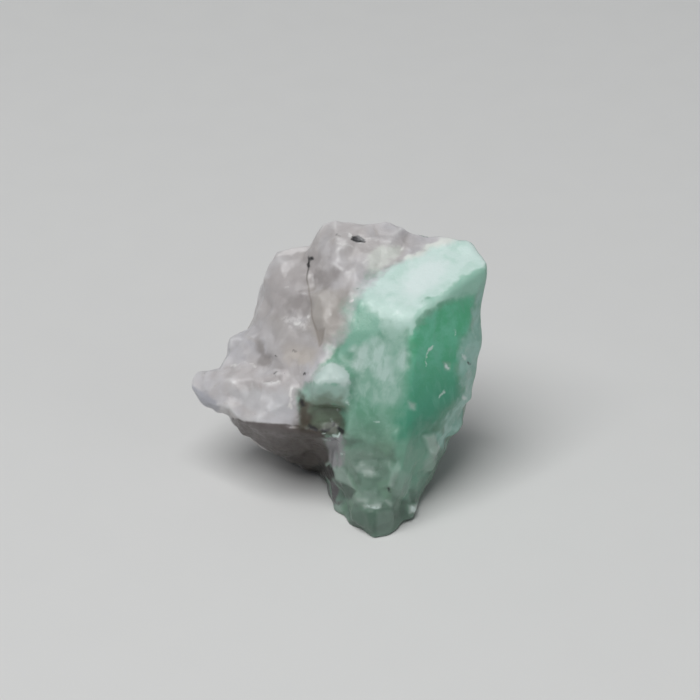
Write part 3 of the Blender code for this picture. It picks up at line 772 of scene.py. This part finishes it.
def shape_skin(skin, seam):
    """Gives the skin its final shape and returns the layers of colour."""
    points = smoothed_all(skin, read_points(skin), SKIN_ROUNDS)
    points = worn_points(skin, points, seam)
    write_points(skin, points)
    normals = read_normals(skin)
    places = view_places(points)
    seen = seen_share(skin, points, normals)
    ragged = sampled(points, scale=1.6, octaves=4, offset=3.0)
    layers = colour_layers(points, places, seen, ragged)

    # The view says where the crystal ends on what it shows, and the seam says it elsewhere.
    border = depth_inside(places, CRYSTAL_OUTLINE) / PIXELS_PER_MM
    near_seen = spread(skin, seen, rounds=16, full=0.12)
    border = near_seen * border / (1.0 + BORDER_BLUR * layers["border_soft"]) + (1.0 - near_seen) * seam
    back = 1.0 - spread(skin, seen, rounds=300, full=0.25)
    in_crystal = soft_step(border, low=-0.2, high=0.4)
    in_quartz = 1.0 - in_crystal
    broken_end = 1.0 - soft_step(points[:, 2], low=6.0, high=8.5)
    above_base = soft_step(points[:, 2], low=0.2, high=0.8)

    # The stain and painted shade keep to the quartz, left of the crystal's broken end.
    below_lip = stain_and_shade_depth(skin, points, places, normals, seen)
    under_share = spread(skin, seen, rounds=300, full=0.5)
    under_share = under_share * soft_step(-points[:, 0], low=-1.5, high=-1.0) * in_quartz

    rough_end = np.maximum(in_crystal * broken_end, RIM_ROUGHNESS * layers["rim"])
    rough_share = above_base * np.maximum(in_quartz, rough_end)
    rough_share *= 1.0 - UNDERSIDE_SMOOTHNESS * under_share * soft_step(below_lip, low=0.0, high=0.3)
    smooth_share = in_crystal * (1.0 - broken_end) * (1.0 - RIM_LOSS * layers["rim"])

    points, tones = with_chips(skin, points, rough_share, back)
    waves = smooth_share * FACE_WAVES * sampled(points, scale=0.6, octaves=2, offset=2.0)
    points, facet_light_and_shade = with_facets(skin, points, places, waves, seen, ragged, above_base)

    fade_corner = CRACK_LINE[CRACK_FADE_CORNER][1]
    layers.update({
        "under": below_lip,
        "under_share": under_share,
        "border": border,
        # How far the skin stands out: it sets painted highlights on ridges and crests and painted shade
        # in creases and hollows.
        "ridge_light_and_shade": standing_out(skin, points, RIDGE_ROUNDS),
        "swell": standing_out(skin, points, SWELL_ROUNDS),
        "back": back,
        "facet_light_and_shade": facet_light_and_shade,
        "large_tone": tones[0],
        "coarse_tone": tones[1],
        "fine_tone": tones[2],
        "crack": along_line(places, CRACK_LINE, 1) / PIXELS_PER_MM,
        "crack_length": crack_span(places) * seen * in_quartz,
        "crack_fade": soft_step(places[:, 1], CRACK_LINE[1][1], fade_corner),
    })
    write_points(skin, points * MM)
    return layers


class Shading:
    """Short ways to add and join the nodes of one material."""

    def __init__(self, name):
        self.material = bpy.data.materials.new(name)
        self.material.use_nodes = True
        self.tree = self.material.node_tree
        self.shader = self.tree.nodes["Principled BSDF"]

    def put(self, socket, value):
        if isinstance(value, bpy.types.NodeSocket):
            self.tree.links.new(value, socket)
        elif isinstance(value, tuple) and len(value) == 3 and socket.type == "RGBA":
            socket.default_value = (*value, 1.0)
        else:
            socket.default_value = value

    def node(self, kind, inputs=None, **settings):
        node = self.tree.nodes.new(kind)
        for name, value in settings.items():
            setattr(node, name, value)
        for name, value in (inputs or {}).items():
            self.put(node.inputs[name], value)
        return node

    def layer(self, name):
        return self.node("ShaderNodeAttribute", attribute_name=name).outputs["Fac"]

    def noise(self, place, scale, detail, roughness=0.5, distortion=0.0):
        inputs = {"Vector": place, "Scale": scale, "Detail": detail}
        inputs |= {"Roughness": roughness, "Distortion": distortion}
        return self.node("ShaderNodeTexNoise", inputs).outputs["Fac"]

    def scaled(self, place, scale):
        return self.node("ShaderNodeMapping", {"Vector": place, "Scale": scale}).outputs["Vector"]

    def step(self, value, low, high, least=0.0, most=1.0):
        """The least up to the low value, the most from the high value, and smooth between them."""
        inputs = {"Value": value, "From Min": low, "From Max": high, "To Min": least, "To Max": most}
        node = self.node("ShaderNodeMapRange", inputs, interpolation_type="SMOOTHSTEP")
        return node.outputs["Result"]

    def math(self, operation, first, second=0.0, third=0.0):
        node = self.node("ShaderNodeMath", operation=operation)
        for socket, value in zip(node.inputs, (first, second, third)):
            self.put(socket, value)
        return node.outputs["Value"]

    def times(self, first, second):
        return self.math("MULTIPLY", first, second)

    def mix(self, share, first, second):
        """One colour over another, each a socket, three numbers or the name of a tint."""
        node = self.node("ShaderNodeMix", data_type="RGBA")
        self.put(node.inputs[0], share)
        self.put(node.inputs[6], TINTS.get(first, first))
        self.put(node.inputs[7], TINTS.get(second, second))
        return node.outputs[2]

    def coated(self, colour, *coats):
        """A colour with coats over it, each of them a share and a colour."""
        for share, coat in coats:
            colour = self.mix(share, colour, coat)
        return colour


class StoneShading(Shading):
    """The noise of the stone and ways to break up the layers of its skin, in millimetres.

    The noise goes from wide to fine. Each has a scale, detail, roughness and distortion.
    """

    def __init__(self, name):
        super().__init__(name)
        metres = self.node("ShaderNodeTexCoord").outputs["Object"]
        self.place = self.scaled(metres, (1 / MM, 1 / MM, 1 / MM))
        self.height = self.node("ShaderNodeSeparateXYZ", {"Vector": self.place}).outputs["Z"]
        self.wide = self.noise(self.place, 0.3, 2.0)
        self.middle = self.noise(self.place, 0.9, 4.0, 0.55, 0.4)
        self.fine = self.noise(self.place, 3.0, 5.0, 0.6)
        self.grain = self.noise(self.place, 9.0, 3.0, 0.6)
        self.streaks = self.noise(self.scaled(self.place, (2.2, 2.2, 0.45)), 0.9, 3.0, 0.5, 0.5)
        ragged = self.math("MULTIPLY_ADD", self.middle, 1.4, -0.7)
        ragged = self.math("SUBTRACT", ragged, 0.25)
        self.ragged = self.math("MULTIPLY_ADD", self.fine, 0.5, ragged)
        self.coarse_tone = self.layer("coarse_tone")
        self.fine_tone = self.layer("fine_tone")
        self.behind = self.step(self.layer("back"), 0.0, 0.6)
        self.in_crystal = self.step(self.shaken("border", 0.4), -0.18, 0.32)
        self.low_end = self.step(self.math("ADD", self.ragged, self.height), 8.5, 5.0)

    def shaken(self, name, amount):
        """A layer with some ragged noise added."""
        return self.math("MULTIPLY_ADD", self.ragged, amount, self.layer(name))

    def edged(self, name, low=0.05, high=0.95):
        """A layer with its soft edge broken up by the noise."""
        return self.step(self.shaken(name, 0.25), low, high)

    def drifting(self, name, thin=0.35):
        """A layer that the streaks thin out in places."""
        return self.times(self.step(self.streaks, 0.35, 0.65, least=thin), self.layer(name))

    def fine_stroke(self, name):
        return self.step(self.shaken(name, 0.5), 0.3, 0.85)


def stain_and_shade_share(stone):
    """How much of the quartz gets the stain and painted shade: what lies below the ledge's lip, near
    the front.
    """
    below_lip = stone.step(stone.shaken("under", 0.12), -0.06, 0.1)
    return stone.times(below_lip, stone.step(stone.shaken("under_share", 0.3), 0.1, 0.85))


def stain_and_shade_colour(stone):
    """The stain and painted shade under the ledge, darker deeper down."""
    return stone.coated(
        "stain_and_shade",
        (stone.step(stone.layer("under"), 0.2, 2.6), "deep_stain_and_shade"),
        (stone.step(stone.middle, 0.45, 0.7, most=0.5), "stain_and_shade_cloud"),
        (stone.step(stone.coarse_tone, 0.4, 1.0, most=0.35), "stain_and_shade_chip"),
        (stone.layer("under_warm"), "warm_stain_and_shade"),
    )


def quartz_colour(stone, stained_and_shaded):
    """Milky quartz with clouds, chips, frost and stains, painted shade in its hollows and painted light
    on its crests, and the shades of its places.
    """
    step, layer, edged, times = stone.step, stone.layer, stone.edged, stone.times
    frost = stone.noise(stone.place, 1.3, 5.0, 0.7)
    stains = stone.noise(stone.place, 0.7, 5.0, 0.65, 1.0)
    specks = stone.noise(stone.place, 4.0, 2.0)
    quartz = stone.coated(
        "cool_quartz",
        (step(stone.wide, 0.4, 0.6), "warm_quartz"),
        (step(stone.middle, 0.5, 0.8, most=0.4), "cloud_grey"),
        (step(stone.coarse_tone, 0.55, 1.0, most=0.4), "coarse_chip"),
        (step(stone.fine_tone, 0.6, 1.0, most=0.35), "pale_chip"),
        # Painted shade in the hollows of the skin and painted light on its crests.
        (step(layer("swell"), -0.02, -0.25, most=0.5), "hollow"),
        (step(layer("swell"), 0.02, 0.25, most=0.5), "crest"),
        (step(frost, 0.56, 0.74, most=0.38), (0.70, 0.69, 0.69)),
        (step(stains, 0.58, 0.74, most=0.45), (0.40, 0.36, 0.32)),
        (step(specks, 0.73, 0.78, most=0.7), (0.16, 0.15, 0.15)),
        (times(step(stone.middle, 0.5, 0.7, most=0.7), stone.behind), "pale_chip"),
        (times(step(stone.wide, 0.5, 0.65, most=0.5), stone.behind), "back_stain"),
        (times(step(layer("large_tone"), 0.5, 1.0, most=0.6), stone.behind), "back_chip"),
    )
    # Grey patches in the quartz, and painted shade in the valley between the lobes.
    greys = [edged(name, 0.0, 1.1) for name in ("grey_upper", "grey_left", "grey_lobe", "valley_shade")]
    return stone.coated(
        quartz,
        (layer("upper_shade"), (0.42, 0.395, 0.38)),
        (edged("upper_right"), (0.66, 0.68, 0.64)),
        (edged("lobe_shade"), (0.43, 0.40, 0.395)),
        (step(layer("warm"), 0.0, 1.0, most=0.8), (0.405, 0.375, 0.345)),
        *[(grey, "grey_patch") for grey in greys],
        (edged("nose_shade"), (0.42, 0.42, 0.455)),
        (layer("beige"), (0.56, 0.51, 0.455)),
        (edged("crack_end"), (0.36, 0.325, 0.295)),
        (layer("low_shade"), (0.42, 0.395, 0.385)),
        # Painted highlight along the lobe's top edge.
        (edged("edge_highlight"), (0.69, 0.665, 0.66)),
        # White bits with painted glints under the lobe.
        (times(step(stone.fine, 0.4, 0.6), layer("white_bits_and_glints")), (0.70, 0.68, 0.675)),
        (step(layer("white_ledge"), 0.0, 1.0, most=0.8), (0.565, 0.565, 0.578)),
        # Painted highlight along the stone's top edge on the right.
        (edged("top_edge_highlight", 0.0, 0.8), (0.74, 0.77, 0.73)),
        # The stain and painted shade under the ledge.
        (stained_and_shaded, stain_and_shade_colour(stone)),
        (edged("slate", 0.2, 0.8), (0.12, 0.12, 0.125)),
    )


def crystal_body(stone):
    """The crystal's greens: the body, the flank at the back, the broken end and the deep face."""
    step, layer = stone.step, stone.layer
    body = stone.coated(
        "green",
        (step(stone.middle, 0.35, 0.65), "pale_green"),
        (step(stone.streaks, 0.5, 0.75, most=0.45), "streak"),
    )
    flank = stone.coated(
        "flank",
        (step(stone.wide, 0.42, 0.58), "flank_pale"),
        (step(stone.streaks, 0.45, 0.7, most=0.55), "flank_streak"),
    )
    broken = stone.coated(
        "broken_dark",
        (stone.fine_tone, "broken_pale"),
        (step(stone.coarse_tone, 0.4, 1.0, most=0.6), "broken_chip"),
        (step(stone.fine, 0.5, 0.75, most=0.45), "broken_frost"),
        (layer("low_green"), (0.20, 0.42, 0.31)),
        (layer("tip_shade"), (0.085, 0.145, 0.11)),
    )
    deep = stone.coated(
        "deep",
        (step(stone.middle, 0.35, 0.7), "deep_pale"),
        (step(stone.height, 12.5, 7.5), "deep_foot"),
        (step(stone.streaks, 0.5, 0.75, most=0.4), "deep_streak"),
    )
    return stone.coated(
        body,
        (stone.behind, flank),
        (stone.low_end, broken),
        (layer("deep_low"), deep),
        (stone.edged("deep", 0.0, 1.0), deep),
    )


def crystal_colour(stone):
    """The crystal with its clouds, rim and edges, the mint top, the nub, the painted shade of the
    hollow under it, and the painted light and shade of its facets.
    """
    step, layer, edged, drifting = stone.step, stone.layer, stone.edged, stone.drifting
    rim = stone.coated(
        "rim",
        (step(stone.middle, 0.4, 0.65), "rim_pale"),
        (step(stone.fine_tone, 0.6, 1.0, most=0.4), "rim_chip"),
    )
    mint = stone.coated(
        "mint",
        (step(stone.middle, 0.4, 0.65), "mint_dark"),
        (edged("mint_core", 0.0, 1.0), (0.72, 0.82, 0.80)),
    )
    # Olive-brown stain and painted shade in the hollow under the nub.
    shaded_alcove = stone.mix(step(stone.ragged, -0.4, 0.4), "shaded_alcove", "alcove_green")
    facet_light_and_shade = layer("facet_light_and_shade")
    return stone.coated(
        crystal_body(stone),
        (edged("leaf"), (0.25, 0.48, 0.375)),
        (drifting("cloud_low"), (0.42, 0.58, 0.52)),
        (drifting("cloud_column", 0.6), (0.38, 0.56, 0.49)),
        (drifting("cloud", 0.6), (0.50, 0.64, 0.59)),
        (drifting("cloud_band", 0.45), "cloud_band"),
        (drifting("cloud_right", 0.45), "cloud_band"),
        (edged("chamfer"), (0.37, 0.555, 0.475)),
        (edged("rim"), rim),
        (edged("bevel", 0.1, 0.9), (0.41, 0.625, 0.535)),
        (layer("bevel_right"), (0.27, 0.50, 0.40)),
        (edged("mint", 0.08, 0.92), mint),
        (layer("mint_spill"), (0.52, 0.69, 0.63)),
        (edged("nub_front"), (0.36, 0.52, 0.455)),
        (step(layer("nub"), 0.1, 0.9), (0.49, 0.60, 0.565)),
        # Painted shade just under the nub and in the hollow below it.
        (layer("nub_under_shade"), (0.20, 0.27, 0.205)),
        (edged("shaded_alcove"), shaded_alcove),
        (edged("alcove_shadow"), (0.085, 0.10, 0.07)),
        (layer("alcove_low_shade"), (0.065, 0.07, 0.052)),
        (edged("lavender"), (0.29, 0.29, 0.30)),
        # Painted light on the pale facets and painted shade on the dark ones.
        (stone.math("MAXIMUM", facet_light_and_shade, 0.0), "lit_facet"),
        (stone.math("MAXIMUM", stone.times(facet_light_and_shade, -1.0), 0.0), "shaded_facet"),
        # Pale flecks in the crystal, and painted glints.
        (stone.fine_stroke("flecks_and_glints"), (0.62, 0.72, 0.69)),
    )


def stone_material():
    stone = StoneShading("emerald_in_quartz")
    step, layer, edged = stone.step, stone.layer, stone.edged
    # How much stain and painted shade the quartz gets under the ledge.
    stained_and_shaded = stain_and_shade_share(stone)
    broken_crystal = stone.times(stone.low_end, stone.in_crystal)
    # Painted highlight on the ridges of the skin and painted shade in its creases, weaker in the stain
    # and on the broken crystal.
    ridge_light_and_shade = stone.times(layer("ridge_light_and_shade"), stone.math("SUBTRACT", 1.0, stained_and_shaded))
    ridge_light_and_shade = stone.times(ridge_light_and_shade, step(broken_crystal, 0.0, 1.0, least=1.0, most=0.4))
    crack = step(stone.math("ABSOLUTE", stone.shaken("crack", 0.03)), 0.11, 0.0, most=0.8)
    crack_tint = stone.mix(layer("crack_fade"), "crack", "crack_faded")
    colour = stone.coated(
        quartz_colour(stone, stained_and_shaded),
        (stone.in_crystal, crystal_colour(stone)),
        # Painted shadow in the dark strip under the ledge, and painted shade in its lower part.
        (edged("strip_low_shade", 0.2, 0.8), (0.10, 0.095, 0.10)),
        (edged("strip_shadow", 0.2, 0.8), (0.016, 0.015, 0.012)),
        # Painted brown shade on the left wall of the hollow under the nub, and a dark brown patch below
        # it.
        (step(layer("brown_shade"), 0.0, 1.0), (0.09, 0.075, 0.056)),
        (edged("brown_low"), "warm_stain_and_shade"),
        # Painted highlight on ridges and painted shade in creases.
        (step(ridge_light_and_shade, 0.01, 0.07, most=0.2), (0.70, 0.72, 0.71)),
        (step(ridge_light_and_shade, -0.01, -0.07, most=0.15), (0.30, 0.28, 0.26)),
        # Painted highlights on bright edges and glints, with a few white lines.
        (stone.fine_stroke("white_lines_and_highlights"), (0.72, 0.71, 0.70)),
        (stone.times(crack, layer("crack_length")), crack_tint),
        (stone.fine_stroke("black"), (0.02, 0.02, 0.022)),
    )
    relief = stone.math("MULTIPLY_ADD", stone.grain, 0.35, stone.fine)
    bump_inputs = {"Strength": BUMP_STRENGTH, "Distance": BUMP_HEIGHT * MM, "Height": relief}
    bump = stone.node("ShaderNodeBump", bump_inputs)
    inputs = stone.shader.inputs
    stone.put(inputs["Base Color"], colour)
    stone.put(inputs["Roughness"], step(stone.fine, 0.35, 0.7, least=0.28, most=0.55))
    stone.put(inputs["Normal"], bump.outputs["Normal"])
    inputs["IOR"].default_value = STONE_IOR
    inputs["Subsurface Weight"].default_value = INNER_LIGHT
    inputs["Subsurface Radius"].default_value = (1.0, 1.0, 1.0)
    inputs["Subsurface Scale"].default_value = INNER_REACH * MM
    return stone.material


def floor_material():
    floor = Shading("pale_floor")
    fine = floor.noise(floor.node("ShaderNodeTexCoord").outputs["Object"], FLOOR_GRAIN, 3.0)
    floor.put(floor.shader.inputs["Base Color"], FLOOR_COLOUR)
    floor.put(floor.shader.inputs["Roughness"], floor.step(fine, 0.3, 0.7, least=0.75, most=0.9))
    return floor.material


def add_floor():
    half = FLOOR_SIZE / 2
    corners = [(-half, -half, 0), (half, -half, 0), (half, half, 0), (-half, half, 0)]
    mesh = bpy.data.meshes.new("floor")
    mesh.from_pydata(corners, [], [(0, 1, 2, 3)])
    mesh.materials.append(floor_material())
    return linked("floor", mesh)


def turned(item, place, back):
    """Puts a light or the camera in its place, looking away from the direction behind it."""
    item.location = place
    item.rotation_mode = "QUATERNION"
    item.rotation_quaternion = back.to_track_quat("Z", "Y")


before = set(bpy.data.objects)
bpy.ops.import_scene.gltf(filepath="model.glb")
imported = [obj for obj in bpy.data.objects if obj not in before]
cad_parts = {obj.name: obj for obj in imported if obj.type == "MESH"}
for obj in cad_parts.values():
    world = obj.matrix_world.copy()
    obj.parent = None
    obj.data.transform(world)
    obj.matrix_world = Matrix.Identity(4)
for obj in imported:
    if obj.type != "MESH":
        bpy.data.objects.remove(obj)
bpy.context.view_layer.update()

skin, seam = build_skin()
for name, values in shape_skin(skin, seam).items():
    write_layer(skin, name, values)
for face in skin.polygons:
    face.use_smooth = True
piece = linked("raw_emerald", skin)
skin.materials.clear()
skin.materials.append(stone_material())
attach(piece, "root")
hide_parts("emerald_crystal", "quartz_matrix")

floor = add_floor()
for name, (direction, distance, size, energy) in LIGHTS.items():
    light = bpy.data.lights.new(name, "AREA")
    light.size = size
    light.energy = energy
    towards = Vector(direction).normalized()
    turned(linked(name, light), towards * distance, towards)

world = bpy.data.worlds.new("studio")
world.use_nodes = True
background = world.node_tree.nodes["Background"]
background.inputs["Color"].default_value = WORLD_COLOUR
background.inputs["Strength"].default_value = WORLD_STRENGTH
bpy.context.scene.world = world
bpy.context.scene.view_settings.view_transform = "Standard"

lens = bpy.data.cameras.new("camera")
lens.sensor_width = SENSOR_WIDTH
lens.lens = SENSOR_WIDTH * FOCAL_PIXELS / VIEW_PIXELS
lens.clip_start = CLIP_START
camera = linked("camera", lens)
turned(camera, CAMERA_PLACE * MM, CAMERA_BACK)
bpy.context.scene.camera = camera
